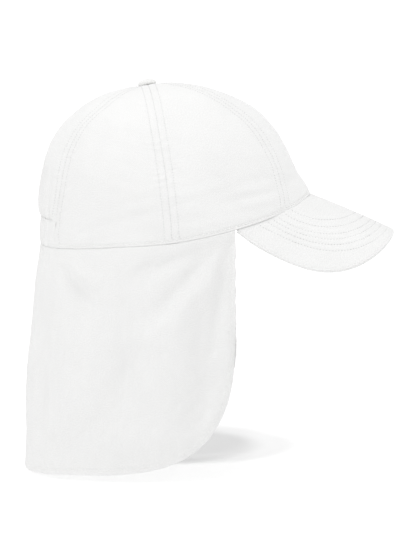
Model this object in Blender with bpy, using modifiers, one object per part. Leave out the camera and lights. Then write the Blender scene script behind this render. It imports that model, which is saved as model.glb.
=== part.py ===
"""Legionnaire cap: a six-gore cotton crown with an arched peak, an elasticated band at the back and
a neck flap. Metres, +Z up, the peak points along +X, and the origin is the middle of the head
opening. The crown and the peak are modelled level, in the crown's own frame, and are carried by an
empty that tilts them nose up, as the cap is worn. The flap hangs straight down."""

import math

import bpy
from mathutils import Matrix, Vector

# Driving sizes of the crown
CROWN_LENGTH = 0.2086
CROWN_WIDTH = 0.1660
CROWN_HEIGHT = 0.1045
CROWN_TILT = math.radians(10.6)
CROWN_TOP_BACK = 0.0020
RIM_DIP = 0.0172
CLOTH = 0.0012
SEAM_GAP = 0.0004
SEAM_SINK = 0.0007
SEAM_SINK_REACH = 0.007

# Driving sizes of the button
BUTTON_DIAMETER = 0.0138
BUTTON_HEIGHT = 0.0046
BUTTON_EDGE = 0.0012

# Driving sizes of the peak
PEAK_REACH = 0.0708
PEAK_PATTERN_WIDTH = 0.1980
PEAK_SLOPE = math.radians(23.3)
PEAK_ARCH_RADIUS = 0.0810
PEAK_THICKNESS = 0.0028
PEAK_BELLY = 0.0008
PEAK_TURN = math.radians(63.0)
PEAK_CORNER_BACK = 0.0400
PEAK_CORNER_TAPER = 0.0052
PEAK_EDGE_ROUNDNESS = 2.6
PEAK_ROUND_SHARE = 0.78
PEAK_CORNER_WIDTH = 0.0030

# Driving sizes of the elasticated back band and of the cloth gathered into it
BACK_BAND_WIDTH = 0.0205
BACK_BAND_THICKNESS = 0.0024
GATHER_PITCH = 0.0105
GATHER_DEPTH = 0.0013
GATHER_RISE = 0.0200
PUFF_DEPTH = 0.0011
PUFF_RISE = 0.0110

# Driving sizes of the sweatband
SWEATBAND_WIDTH = 0.0280
SWEATBAND_THICKNESS = 0.0010

# Driving sizes of the neck flap
FLAP_TURN = math.radians(65.6)
FLAP_TUCK = 0.0060
FLAP_SIDE_LENGTH = 0.1711
FLAP_BACK_DROP = 0.0049
FLAP_BACK_FLARE = 0.0120
FLAP_SIDE_FLARE = 0.0050
FLAP_ROLL = 0.0050
FLAP_CORNER_LENGTH = 0.1100
FLAP_CORNER_HEIGHT = 0.1070
FLAP_CORNER_ROUNDNESS = 2.85
FOLD_DEPTH = 0.0040
FOLD_WIDTH = 0.0100
TUCK_EASE = 0.25

# Clearance between pieces that are sewn or pressed together
GAP = 0.0003

# How far the rim dips below its front and back ends, round half the head
RIM = (
    # turn from the front in degrees, share of RIM_DIP
    (0.0, 0.00),
    (30.0, 0.45),
    (60.0, 0.88),
    (90.0, 1.00),
    (120.0, 0.67),
    (150.0, 0.32),
    (180.0, 0.00),
)

# The dome's fullness against a plain half ellipsoid, from the rim up to the button
FULLNESS = (
    # latitude in degrees, at the front, at the side, at the back
    (0.0, 1.000, 1.000, 1.000),
    (10.0, 0.964, 1.000, 0.982),
    (20.0, 0.967, 1.012, 0.992),
    (30.0, 0.982, 1.034, 1.022),
    (40.0, 0.992, 1.054, 1.047),
    (50.0, 0.992, 1.062, 1.064),
    (60.0, 0.987, 1.052, 1.057),
    (70.0, 0.988, 1.030, 1.040),
    (80.0, 0.994, 1.010, 1.014),
    (90.0, 0.996, 0.996, 0.996),
)

# The seams of one half of the crown, from the rim up to the button
SEAMS = (
    # latitude, turn of the front, the side and the back seam, all in degrees
    (0.0, 36.5, 92.0, 151.0),
    (10.0, 33.5, 91.0, 150.4),
    (20.0, 31.5, 90.1, 146.6),
    (30.0, 30.8, 89.3, 144.4),
    (40.0, 31.4, 88.8, 143.0),
    (50.0, 34.0, 88.2, 138.5),
    (60.0, 37.8, 87.7, 130.0),
    (75.0, 41.5, 87.6, 123.0),
    (90.0, 43.0, 88.0, 120.0),
)

# Soft folds of the flap, the same on both sides; a valley is less than nothing high
FOLDS = (
    # from turn (degrees), from share of the drop, to turn, to share, share of FOLD_DEPTH, of FOLD_WIDTH
    (67.0, 0.04, 74.5, 0.60, -0.60, 0.50),
    (73.0, 0.00, 108.0, 0.13, -0.35, 0.70),
    (76.0, 0.05, 101.0, 0.32, -0.50, 0.85),
    (80.0, 0.32, 79.0, 0.85, -1.00, 1.30),
    (92.0, 0.30, 90.0, 0.95, 0.60, 1.50),
    (145.0, 0.02, 124.0, 0.17, 0.50, 0.60),
    (146.0, 0.07, 123.0, 0.30, -0.60, 0.70),
    (106.0, 0.46, 119.0, 0.82, -0.80, 1.20),
    (133.0, 0.40, 136.0, 0.98, 0.60, 1.60),
    (158.0, 0.30, 153.0, 0.98, -0.70, 1.10),
)

# Faces of the meshes
GORE_ROWS = 14
GORE_COLUMNS = 8
BACK_COLUMNS = 32
FLAP_ROWS = 14
FLAP_COLUMNS = 26
PEAK_ROWS = 7
PEAK_COLUMNS = 16
BAND_STEP = math.radians(7.5)
BUTTON_STEPS = 24
TOP_LATITUDE = math.radians(87.8)

CLOTH_COLOUR = (0.90, 0.90, 0.90)
BAND_COLOUR = (0.86, 0.86, 0.85)


def clear_scene():
    for found in list(bpy.data.objects):
        bpy.data.objects.remove(found, do_unlink=True)


def read_table(rows, column, at):
    """The smooth value of one column at a place in the first column, level at both ends."""
    last = len(rows) - 1
    at = min(max(at, rows[0][0]), rows[last][0])
    low = max(i for i in range(last) if rows[i][0] <= at)
    span = rows[low + 1][0] - rows[low][0]
    share = (at - rows[low][0]) / span

    def slope(i):
        if i in (0, last):
            return 0.0
        return (rows[i + 1][column] - rows[i - 1][column]) / (rows[i + 1][0] - rows[i - 1][0])

    start, end = rows[low][column], rows[low + 1][column]
    rise, fall = slope(low) * span, slope(low + 1) * span
    bend = start * (2 * share**3 - 3 * share**2 + 1) + end * (3 * share**2 - 2 * share**3)
    return bend + rise * (share**3 - 2 * share**2 + share) + fall * (share**3 - share**2)


def smooth_step(share):
    share = min(max(share, 0.0), 1.0)
    return share * share * (3.0 - 2.0 * share)


def rim_dip(turn):
    """How far the rim lies below the level of its front and back ends."""
    away = abs(math.degrees(math.atan2(math.sin(turn), math.cos(turn))))
    return RIM_DIP * read_table(RIM, 1, away)


def seam_turn(seam, latitude):
    """The turn of a seam at a latitude. Seam 0 is the front one, 2 the back one."""
    return math.radians(read_table(SEAMS, seam + 1, math.degrees(latitude)))


def fullness(turn, latitude):
    at = math.degrees(latitude)
    along = math.cos(turn)
    front, side, back = (read_table(FULLNESS, column, at) for column in (1, 2, 3))
    end = front if along > 0.0 else back
    return side + (end - side) * along * along


def seam_sink(turn, latitude):
    """How far the cloth is drawn in by the nearest seam."""
    away = abs(math.atan2(math.sin(turn), math.cos(turn)))
    radius = 0.5 * CROWN_LENGTH * math.cos(latitude)
    nearest = min(abs(away - seam_turn(seam, latitude)) for seam in (0, 1, 2))
    return SEAM_SINK * math.exp(-((nearest * radius / SEAM_SINK_REACH) ** 2))


def skin_point(turn, latitude):
    """A point of the crown's outer face, in the crown's own level frame."""
    full = fullness(turn, latitude)
    flat = full * math.cos(latitude)
    return Vector(
        (
            0.5 * CROWN_LENGTH * flat * math.cos(turn) - CROWN_TOP_BACK * math.sin(latitude) ** 2,
            0.5 * CROWN_WIDTH * flat * math.sin(turn),
            CROWN_HEIGHT * full * math.sin(latitude) - rim_dip(turn) * math.cos(latitude) ** 2,
        )
    )


def skin_normal(turn, latitude):
    step = math.radians(0.5)
    across = skin_point(turn + step, latitude) - skin_point(turn - step, latitude)
    up = skin_point(turn, latitude + step) - skin_point(turn, latitude - step)
    return across.cross(up).normalized()


def crown_point(turn, latitude, outward=0.0):
    """A point a given way outward from the crown's outer face."""
    lift = outward - seam_sink(turn, latitude)
    return skin_point(turn, latitude) + skin_normal(turn, latitude) * lift


def latitude_above_rim(turn, height):
    """The latitude that lies a given height of cloth above the rim."""
    low, high = 0.0, 0.5 * math.pi
    base = skin_point(turn, 0.0)
    for _ in range(30):
        middle = 0.5 * (low + high)
        if (skin_point(turn, middle) - base).length < height:
            low = middle
        else:
            high = middle
    return low


def cloth_material(name, colour, roughness):
    material = bpy.data.materials.new(name)
    material.use_nodes = True
    shader = material.node_tree.nodes["Principled BSDF"]
    shader.inputs["Base Color"].default_value = (*colour, 1.0)
    shader.inputs["Roughness"].default_value = roughness
    shader.inputs["Metallic"].default_value = 0.0
    return material


def add_object(name, mesh, colour, carrier=None):
    mesh.materials.append(cloth_material(name + "_cloth", colour, 0.9))
    piece = bpy.data.objects.new(name, mesh)
    collection.objects.link(piece)
    piece.parent = carrier
    return piece


def add_sheet(name, grid, thickness, colour, carrier=None, place=None):
    """A sheet of cloth from a grid of points on its outer face, thickened to its inner side."""
    place = place or Matrix.Identity(4)
    home = place.inverted()
    columns = len(grid[0])
    points = [home @ point for row in grid for point in row]
    faces = []
    for row in range(len(grid) - 1):
        for column in range(columns - 1):
            corner = row * columns + column
            faces.append((corner, corner + 1, corner + columns + 1, corner + columns))
    mesh = bpy.data.meshes.new(name)
    mesh.from_pydata(points, [], faces)
    mesh.shade_smooth()
    piece = add_object(name, mesh, colour, carrier)
    piece.location = place.to_translation()
    piece.rotation_euler = place.to_euler()
    shell = piece.modifiers.new("thickness", "SOLIDIFY")
    shell.thickness = thickness
    shell.offset = -1.0
    shell.use_even_offset = True
    return piece


def gap_turn(turn, latitude):
    """Half the gap of a seam, as a turn at this latitude."""
    middle = skin_point(turn, latitude)
    return 0.5 * SEAM_GAP / math.hypot(middle.x, middle.y)


def gather_lift(turn, latitude):
    """How far the cloth at the back stands out, where the elastic gathers it and it puffs out above."""
    off = turn - math.pi
    half = math.pi - seam_turn(2, latitude)
    beside = max(1.0 - (off / half) ** 4, 0.0)
    place = skin_point(turn, latitude)
    above = (place - skin_point(turn, 0.0)).length - BACK_BAND_WIDTH
    along = off * math.hypot(place.x, place.y)
    wave = math.cos(2.0 * math.pi * along / GATHER_PITCH + 1.3 * math.sin(along / GATHER_PITCH))
    if above <= 0.0:
        return 0.5 * GATHER_DEPTH * (wave - 1.0) * beside
    puff = PUFF_DEPTH * above / PUFF_RISE * math.exp(1.0 - above / PUFF_RISE)
    return (puff + GATHER_DEPTH * (wave - 0.5) * math.exp(-above / GATHER_RISE)) * beside


def flat_lift(turn, latitude):
    return 0.0


def gore_grid(left, right, columns, foot_height=0.0, lift=flat_lift):
    """Points of one gore between two lines that give a turn at each latitude, up from its foot."""
    grid = []
    for row in range(GORE_ROWS + 1):
        line = []
        for column in range(columns + 1):
            across = column / columns
            base = latitude_above_rim(left(0.0) + (right(0.0) - left(0.0)) * across, foot_height)
            latitude = base + (TOP_LATITUDE - base) * row / GORE_ROWS
            start, end = left(latitude), right(latitude)
            start += gap_turn(start, latitude)
            end -= gap_turn(end, latitude)
            turn = start + (end - start) * across
            line.append(crown_point(turn, latitude, lift(turn, latitude)))
        grid.append(line)
    return grid


def make_gores(tilt):
    """Six gores; a turn grows from the front over the left side."""
    front = gore_grid(lambda at: -seam_turn(0, at), lambda at: seam_turn(0, at), GORE_COLUMNS + 2)
    add_sheet("panel_front", front, CLOTH, CLOTH_COLOUR, tilt)
    for name, first in (("panel_side_front", 0), ("panel_side_back", 1)):
        left = gore_grid(lambda at: seam_turn(first, at), lambda at: seam_turn(first + 1, at), GORE_COLUMNS)
        right = gore_grid(lambda at: -seam_turn(first + 1, at), lambda at: -seam_turn(first, at), GORE_COLUMNS)
        add_sheet(name + "_left", left, CLOTH, CLOTH_COLOUR, tilt)
        add_sheet(name + "_right", right, CLOTH, CLOTH_COLOUR, tilt)
    back = gore_grid(
        lambda at: seam_turn(2, at),
        lambda at: 2.0 * math.pi - seam_turn(2, at),
        BACK_COLUMNS,
        BACK_BAND_WIDTH + GAP,
        gather_lift,
    )
    add_sheet("panel_back", back, CLOTH, CLOTH_COLOUR, tilt)


def make_back_band(tilt):
    """A cloth casing with elastic inside, sewn to the back gore's lower edge between two seams."""
    start = seam_turn(2, 0.0) + gap_turn(seam_turn(2, 0.0), 0.0)
    proud = 0.25 * (BACK_BAND_THICKNESS - CLOTH)
    grid = []
    for row in range(3):
        line = []
        for column in range(BACK_COLUMNS + 1):
            turn = start + 2.0 * (math.pi - start) * column / BACK_COLUMNS
            latitude = latitude_above_rim(turn, 0.5 * BACK_BAND_WIDTH * row)
            line.append(crown_point(turn, latitude, proud + gather_lift(turn, latitude)))
        grid.append(line)
    add_sheet("back_band", grid, BACK_BAND_THICKNESS, CLOTH_COLOUR, tilt)


def make_button(tilt):
    """A low domed button, turned about its own upright axis, seated on the ends of the gores."""
    radius = 0.5 * BUTTON_DIAMETER
    dome = BUTTON_HEIGHT - BUTTON_EDGE
    profile = [(0.0, BUTTON_HEIGHT)]
    for step in range(1, 6):
        swing = math.radians(18.0 * step)
        profile.append((radius * math.sin(swing), BUTTON_EDGE + dome * math.cos(swing)))
    profile += [(radius, 0.4 * BUTTON_EDGE), (radius - BUTTON_EDGE, 0.0), (0.0, 0.0)]
    mesh = bpy.data.meshes.new("top_button")
    points = [(x, 0.0, z) for x, z in profile]
    mesh.from_pydata(points, [(i, i + 1) for i in range(len(points) - 1)], [])
    button = add_object("top_button", mesh, CLOTH_COLOUR, tilt)
    button.location = skin_point(0.0, 0.5 * math.pi) + Vector((0.0, 0.0, GAP))
    turned = button.modifiers.new("turned", "SCREW")
    turned.steps = BUTTON_STEPS
    turned.render_steps = BUTTON_STEPS
    turned.use_merge_vertices = True
    turned.merge_threshold = 0.0001
    turned.use_smooth_shade = True


def tuck_depth(turn):
    """How far inside the crown's face the flap's top edge lies, under the gores or the back band."""
    from_back = abs(abs(turn) - math.pi) / (math.pi - seam_turn(2, 0.0))
    at_back = smooth_step((1.0 + TUCK_EASE - from_back) / TUCK_EASE)
    return CLOTH + GAP + SEAM_SINK + (BACK_BAND_THICKNESS + 0.5 * GATHER_DEPTH - CLOTH) * at_back


def make_sweatband(tilt):
    """A band inside the rim, from one back seam round the front to the other."""
    end = seam_turn(2, 0.0) - gap_turn(seam_turn(2, 0.0), 0.0)
    columns = round(2.0 * end / BAND_STEP)
    grid = []
    for row in range(3):
        line = []
        for column in range(columns + 1):
            turn = -end + 2.0 * end * column / columns
            latitude = latitude_above_rim(turn, SWEATBAND_WIDTH * row / 2.0)
            line.append(crown_point(turn, latitude, -tuck_depth(turn) - CLOTH - GAP))
        grid.append(line)
    add_sheet("sweatband", grid, SWEATBAND_THICKNESS, BAND_COLOUR, tilt)


def peak_edge(along):
    """The outer edge on the flat pattern, as forward and sideways, from the middle to a corner."""
    half = 0.5 * PEAK_PATTERN_WIDTH
    if along < PEAK_ROUND_SHARE:
        swing = 0.5 * math.pi * along / PEAK_ROUND_SHARE
        power = 2.0 / PEAK_EDGE_ROUNDNESS
        return PEAK_REACH * math.cos(swing) ** power, half * math.sin(swing) ** power
    back = (along - PEAK_ROUND_SHARE) / (1.0 - PEAK_ROUND_SHARE)
    return -PEAK_CORNER_BACK * back, half - PEAK_CORNER_TAPER * back * back


def make_peak(tilt):
    """An arched plate between the rim and an outer edge that is a flat pattern bent to an arch."""
    front = skin_point(0.0, 0.0)
    place = Matrix.Translation(front) @ Matrix.Rotation(PEAK_SLOPE + CROWN_TILT, 4, "Y")
    grid = []
    for row in range(PEAK_ROWS + 1):
        out = row / PEAK_ROWS
        line = []
        for column in range(-PEAK_COLUMNS, PEAK_COLUMNS + 1):
            along = abs(column) / PEAK_COLUMNS
            side = math.copysign(1.0, column)
            turn = side * PEAK_TURN * along
            root = crown_point(turn, 0.0, -CLOTH)
            root.z -= 2.0 * GAP
            forward, sideways = peak_edge(along)
            bend = sideways / PEAK_ARCH_RADIUS
            edge = place @ Vector(
                (
                    forward,
                    side * PEAK_ARCH_RADIUS * math.sin(bend),
                    PEAK_ARCH_RADIUS * (math.cos(bend) - 1.0),
                )
            )
            width = (edge - root).length
            if width < PEAK_CORNER_WIDTH:
                edge = root + (edge - root).normalized() * PEAK_CORNER_WIDTH
            point = root.lerp(edge, out)
            point += place.to_3x3() @ Vector((0.0, 0.0, PEAK_BELLY * math.sin(math.pi * out)))
            line.append(point)
        grid.append(line)
    grid = [list(reversed(line)) for line in grid]
    add_sheet("peak", grid, PEAK_THICKNESS, CLOTH_COLOUR, tilt, place)


def flap_bottom(turn, ahead):
    """The height of the flap's lower edge under a point a given way ahead of the origin."""
    rim = hang @ crown_point(FLAP_TURN, 0.0)
    level = -FLAP_SIDE_LENGTH - RIM_DIP - FLAP_BACK_DROP * min(math.cos(turn), 0.0) ** 4
    start = rim.x - FLAP_CORNER_LENGTH
    if ahead <= start:
        return level
    share = min((ahead - start) / FLAP_CORNER_LENGTH, 1.0)
    rounding = 1.0 - share**FLAP_CORNER_ROUNDNESS
    return level + FLAP_CORNER_HEIGHT * (1.0 - rounding ** (1.0 / FLAP_CORNER_ROUNDNESS))


def fold_height(turn, share, drop):
    """The sum of all folds at a place on the flap, out from its plain shape."""
    radius = 0.25 * (CROWN_LENGTH + CROWN_WIDTH)
    from_front = abs(math.atan2(math.sin(turn), math.cos(turn)))
    place = Vector((from_front * radius, share * drop))
    total = 0.0
    for from_turn, from_share, to_turn, to_share, height, width in FOLDS:
        start = Vector((math.radians(from_turn) * radius, from_share * drop))
        run = Vector((math.radians(to_turn) * radius, to_share * drop)) - start
        along = (place - start).dot(run) / run.length_squared
        nearest = start + run * min(max(along, 0.0), 1.0)
        fade = math.sin(math.pi * min(max(0.12 + 0.76 * along, 0.0), 1.0))
        away = (place - nearest).length / (FOLD_WIDTH * width)
        total += FOLD_DEPTH * height * fade * math.exp(-away * away)
    return total


def flap_point(turn, share):
    """A point of the flap's outer face; share 0 is its top edge inside the rim, 1 its hem."""
    depth = tuck_depth(turn)
    top = hang @ crown_point(turn, latitude_above_rim(turn, FLAP_TUCK), -depth)
    rim = hang @ crown_point(turn, 0.0, -depth)
    tuck = FLAP_TUCK / (FLAP_TUCK + FLAP_SIDE_LENGTH)
    if share < tuck:
        return top.lerp(rim, share / tuck)
    down = (share - tuck) / (1.0 - tuck)
    bottom = flap_bottom(turn, rim.x)
    ahead = hang.to_3x3() @ skin_normal(turn, 0.0)
    ahead.z = 0.0
    ahead.normalize()
    rolled = smooth_step(down * FLAP_SIDE_LENGTH / FLAP_ROLL)
    spread = down * (2.0 - down)
    flare = Vector(
        (
            -FLAP_BACK_FLARE * max(-math.cos(turn), 0.0),
            FLAP_SIDE_FLARE * math.sin(turn),
            0.0,
        )
    )
    lift = (depth + fold_height(turn, down, FLAP_SIDE_LENGTH)) * rolled
    point = rim + flare * spread + ahead * lift
    point.z = rim.z + (bottom - rim.z) * down
    return point


def flap_turn(column):
    """Columns lie closer towards the front edges, where the hem is rounded."""
    part = column / FLAP_COLUMNS
    half = math.pi - FLAP_TURN
    return math.pi + math.copysign(half * (1.0 - (1.0 - abs(part)) ** 1.5), part)


def make_flap():
    """One sheet from the left front edge, round the back, to the right front edge."""
    grid = []
    tuck = FLAP_TUCK / (FLAP_TUCK + FLAP_SIDE_LENGTH)
    shares = [0.0] + [tuck + (1.0 - tuck) * (row / FLAP_ROWS) ** 1.3 for row in range(FLAP_ROWS + 1)]
    for share in reversed(shares):
        line = []
        for column in range(-FLAP_COLUMNS, FLAP_COLUMNS + 1):
            line.append(flap_point(flap_turn(column), share))
        grid.append(line)
    back = Matrix.Translation(hang @ crown_point(math.pi, 0.0))
    add_sheet("neck_flap", grid, CLOTH, CLOTH_COLOUR, None, back)


clear_scene()
collection = bpy.data.collections.new("legionnaire_cap")
bpy.context.scene.collection.children.link(collection)
tilt = bpy.data.objects.new("worn_tilt", None)
tilt.rotation_euler = (0.0, -CROWN_TILT, 0.0)
collection.objects.link(tilt)
hang = Matrix.Rotation(-CROWN_TILT, 4, "Y")

make_gores(tilt)
make_back_band(tilt)
make_button(tilt)
make_sweatband(tilt)
make_peak(tilt)
make_flap()
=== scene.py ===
import math

import bmesh
import bpy
import numpy as np
from mathutils import Matrix, Vector


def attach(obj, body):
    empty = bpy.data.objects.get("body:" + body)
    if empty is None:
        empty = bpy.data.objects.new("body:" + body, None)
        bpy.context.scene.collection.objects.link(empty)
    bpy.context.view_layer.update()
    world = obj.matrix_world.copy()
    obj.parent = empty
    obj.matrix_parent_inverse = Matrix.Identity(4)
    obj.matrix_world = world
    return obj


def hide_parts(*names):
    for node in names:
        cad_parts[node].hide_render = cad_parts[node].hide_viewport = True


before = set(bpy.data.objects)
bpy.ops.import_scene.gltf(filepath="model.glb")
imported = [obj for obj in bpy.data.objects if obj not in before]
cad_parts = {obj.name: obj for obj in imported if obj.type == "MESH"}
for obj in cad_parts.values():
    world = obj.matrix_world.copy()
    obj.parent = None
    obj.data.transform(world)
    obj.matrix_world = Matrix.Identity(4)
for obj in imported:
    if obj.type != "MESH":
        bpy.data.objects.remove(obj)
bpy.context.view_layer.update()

# Crown gores
# Six wedges of white cotton twill, sewn edge to edge, with the seam allowances pressed open inside and
# caught down by a row of topstitching on each side. The head that wears the cap gives them their dome.
CROWN_LENGTH = 0.2086
CROWN_WIDTH = 0.1660
CROWN_HEIGHT = 0.1045
CROWN_TILT = math.radians(10.6)
CROWN_TOP_BACK = 0.0020
RIM_DIP = 0.0172
CLOTH = 0.0012
SEAM_SINK = 0.0007
SEAM_SINK_REACH = 0.007
TOP_LATITUDE = math.radians(88.0)
RIM = (
    # turn from the front in degrees, share of RIM_DIP
    (0.0, 0.00),
    (30.0, 0.45),
    (60.0, 0.88),
    (90.0, 1.00),
    (120.0, 0.67),
    (150.0, 0.32),
    (180.0, 0.00),
)
FULLNESS = (
    # latitude in degrees, at the front, at the side, at the back
    (0.0, 1.000, 1.000, 1.000),
    (10.0, 0.964, 1.000, 0.982),
    (20.0, 0.967, 1.012, 0.992),
    (30.0, 0.982, 1.034, 1.022),
    (40.0, 0.992, 1.054, 1.047),
    (50.0, 0.992, 1.062, 1.064),
    (60.0, 0.987, 1.052, 1.057),
    (70.0, 0.988, 1.030, 1.040),
    (80.0, 0.994, 1.010, 1.014),
    (90.0, 0.996, 0.996, 0.996),
)
SEAMS = (
    # latitude, turn of the front, the side and the back seam, all in degrees
    (0.0, 36.5, 92.0, 151.0),
    (10.0, 33.5, 91.0, 150.4),
    (20.0, 31.5, 90.1, 146.6),
    (30.0, 30.8, 89.3, 144.4),
    (40.0, 31.4, 88.8, 143.0),
    (50.0, 34.0, 88.2, 138.5),
    (60.0, 37.8, 87.7, 130.0),
    (75.0, 41.5, 87.6, 123.0),
    (90.0, 43.0, 88.0, 120.0),
)
SEAM_SLIT = 0.00002
SEAM_LINE_WIDTH = 0.0007
SEAM_LINE_SINK = 0.00004
SEAM_DOT_SINK = 0.00020
SEAM_DOT_PITCH = 0.0029
ALLOWANCE = 0.0054
ALLOWANCE_RISE = 0.00026
ALLOWANCE_EDGE = 0.0012
SEAM_ROW_SINK = 0.00020
SEAM_ROW_WIDTH = 0.0006
PUCKER_DEPTH = 0.00022
PUCKER_PITCH = 0.0058
PUCKER_PLACE = 0.004
PUCKER_REACH = 0.0060
PUCKERS_START = 0.012
PUCKERS_GROW = 0.030
EDGE_FOLD = 0.00025
EDGE_FOLD_REACH = 0.004
RIM_EDGE_TURN = 0.00012
RIM_EDGE_BULGE = 0.00010
RIM_ROW_HEIGHT = 0.0022
RIM_ROW_SINK = 0.00040
RIM_ROW_WIDTH = 0.0007
BROAD_WRINKLE = 0.00045
SMALL_WRINKLE = 0.00012
LEVEL_CREASE = 0.00030
LEVEL_STRETCH = 0.12
GORE_ROWS = 170
GORE_ROW_CROWDING = 1.25
TWILL_THREAD = 0.00052
WHITE = (0.82, 0.82, 0.815)


def read_table(rows, column, at):
    """The smooth values of one column at places in the first column, level at both ends."""
    places, values = np.array(rows)[:, 0], np.array(rows)[:, column]
    slopes = np.zeros(len(rows))
    slopes[1:-1] = (values[2:] - values[:-2]) / (places[2:] - places[:-2])
    at = np.clip(at, places[0], places[-1])
    low = np.clip(np.searchsorted(places, at, side="right") - 1, 0, len(rows) - 2)
    span = places[low + 1] - places[low]
    share = (at - places[low]) / span
    bend = values[low] * (2 * share**3 - 3 * share**2 + 1) + values[low + 1] * (3 * share**2 - 2 * share**3)
    rise = slopes[low] * span * (share**3 - 2 * share**2 + share)
    return bend + rise + slopes[low + 1] * span * (share**3 - share**2)


def smooth_step(share):
    """A rise from 0 to 1 that starts and ends level."""
    share = np.clip(share, 0.0, 1.0)
    return share * share * (3.0 - 2.0 * share)


def bell(way, width):
    """A soft hump of height one, a given width to each side."""
    return np.exp(-((way / width) ** 2))


def from_front(turn):
    """The turn away from the front, either way round, up to half a circle."""
    return np.abs(np.arctan2(np.sin(turn), np.cos(turn)))


def seam_turn(seam, latitude):
    """The turn from the front at which a seam lies: 0 the front, 1 the side, 2 the back seam."""
    return np.radians(read_table(SEAMS, seam + 1, np.degrees(latitude)))


def skin(turn, latitude):
    """Points of the crown's outer face in its own level frame."""
    along, at = np.cos(turn), np.degrees(latitude)
    front, side, back = (read_table(FULLNESS, column, at) for column in (1, 2, 3))
    full = side + (np.where(along > 0.0, front, back) - side) * along * along
    flat = full * np.cos(latitude)
    dip = RIM_DIP * read_table(RIM, 1, np.degrees(from_front(turn)))
    x = 0.5 * CROWN_LENGTH * flat * along - CROWN_TOP_BACK * np.sin(latitude) ** 2
    y = 0.5 * CROWN_WIDTH * flat * np.sin(turn)
    z = CROWN_HEIGHT * full * np.sin(latitude) - dip * np.cos(latitude) ** 2
    return np.stack(np.broadcast_arrays(x, y, z), axis=-1)


def unit(vectors):
    return vectors / np.maximum(np.linalg.norm(vectors, axis=-1, keepdims=True), 1e-12)


def skin_normal(turn, latitude):
    """The way straight out of the crown's face."""
    step = math.radians(0.5)
    across = skin(turn + step, latitude) - skin(turn - step, latitude)
    up = skin(turn, latitude + step) - skin(turn, latitude - step)
    return unit(np.cross(across, up))


def seam_sink(turn, latitude):
    """How far the cloth is drawn in beside the nearest seam."""
    away, radius = from_front(turn), 0.5 * CROWN_LENGTH * np.cos(latitude)
    nearest = np.min([np.abs(away - seam_turn(seam, latitude)) for seam in range(3)], axis=0)
    return SEAM_SINK * bell(nearest * radius, SEAM_SINK_REACH)


def crown_face(turn, latitude, lift=0.0):
    """Points a given way out from the crown's outer face."""
    out = np.asarray(lift - seam_sink(turn, latitude))[..., None]
    return skin(turn, latitude) + skin_normal(turn, latitude) * out


def worn(points):
    """Tilts points of the crown nose up, as the cap is worn."""
    lean = np.array(Matrix.Rotation(-CROWN_TILT, 3, "Y"))
    return points @ lean.T


def latitude_above_rim(turn, height):
    """The latitude that lies a given way up the crown's face from the rim."""
    low, high = np.zeros(np.shape(turn)), np.full(np.shape(turn), 0.5 * math.pi)
    base = skin(turn, 0.0 * low)
    for _ in range(26):
        middle = 0.5 * (low + high)
        short = np.linalg.norm(skin(turn, middle) - base, axis=-1) < height
        low, high = np.where(short, middle, low), np.where(short, high, middle)
    return low


def length_per_turn(turn, latitude):
    """How long the crown's face is round a level for one radian of turn."""
    step = 0.005
    run = skin(turn + step, latitude) - skin(turn - step, latitude)
    return np.linalg.norm(run, axis=-1) / (2.0 * step)


def soft_noise(places, size, seed):
    """Smooth uneven heights of about one, made of waves that cross at odd angles."""
    draw = np.random.default_rng(seed)
    total = 0.0
    for _ in range(10):
        way = draw.normal(size=places.shape[-1])
        way *= 2.0 * math.pi * draw.uniform(0.6, 1.6) / (size * np.linalg.norm(way))
        total = total + np.sin(places @ way + draw.uniform(0.0, 2.0 * math.pi))
    return total / 3.2


def above_rim(turn, latitude):
    """How far up the crown's face from the rim."""
    return np.linalg.norm(skin(turn, latitude) - skin(turn, 0.0 * latitude), axis=-1)


def puckers(turn, latitude, way):
    """Uneven small waves that the sewing draws up across the seam allowances."""
    place = skin(turn, latitude)
    climb = place[..., 2] + 0.0020 * soft_noise(place, 0.020, 5)
    strength = 0.30 + 0.70 * smooth_step(0.5 + 0.8 * soft_noise(place, 0.028, 6))
    wave = np.sin(2.0 * math.pi * climb / PUCKER_PITCH) * strength * bell(way - PUCKER_PLACE, PUCKER_REACH)
    return PUCKER_DEPTH * wave * smooth_step((above_rim(turn, latitude) - PUCKERS_START) / PUCKERS_GROW)


def seam_relief(turn, latitude):
    """The fine shape of the cloth at the seams: a sunk line, raised allowances, puckers across them."""
    away, scale = from_front(turn), length_per_turn(turn, latitude)
    ways = np.stack([(away - seam_turn(seam, latitude)) * scale for seam in range(3)])
    way = np.abs(ways).min(axis=0)
    past_edge = smooth_step((way - ALLOWANCE + 0.25 * ALLOWANCE_EDGE) / ALLOWANCE_EDGE)
    allowance = ALLOWANCE_RISE * (1.0 - past_edge)
    dots = 0.5 + 0.5 * np.cos(2.0 * math.pi * skin(turn, latitude)[..., 2] / SEAM_DOT_PITCH)
    line = -(SEAM_LINE_SINK + SEAM_DOT_SINK * dots) * bell(way, SEAM_LINE_WIDTH)
    row = -SEAM_ROW_SINK * bell(way - ALLOWANCE, SEAM_ROW_WIDTH)
    near_top = smooth_step((math.radians(84.0) - latitude) / math.radians(12.0))
    return (allowance + puckers(turn, latitude, way)) * near_top + line + row


def rim_relief(turn, latitude):
    """The turned edge of the rim, with the groove that its stitching pulls in above it."""
    height = above_rim(turn, latitude)
    turned_in = -RIM_EDGE_TURN * np.clip(1.0 - height / 0.0005, 0.0, 1.0) ** 2
    bulge = RIM_EDGE_BULGE * bell(height - 0.0008, 0.0006)
    return turned_in + bulge - RIM_ROW_SINK * bell(height - RIM_ROW_HEIGHT, RIM_ROW_WIDTH)


def fold_thickness(turn, latitude, full):
    """Cloth pressed thin along the rim, so that its edge lies close on what is sewn in under it."""
    return EDGE_FOLD + (full - EDGE_FOLD) * smooth_step(above_rim(turn, latitude) / EDGE_FOLD_REACH)


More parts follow.
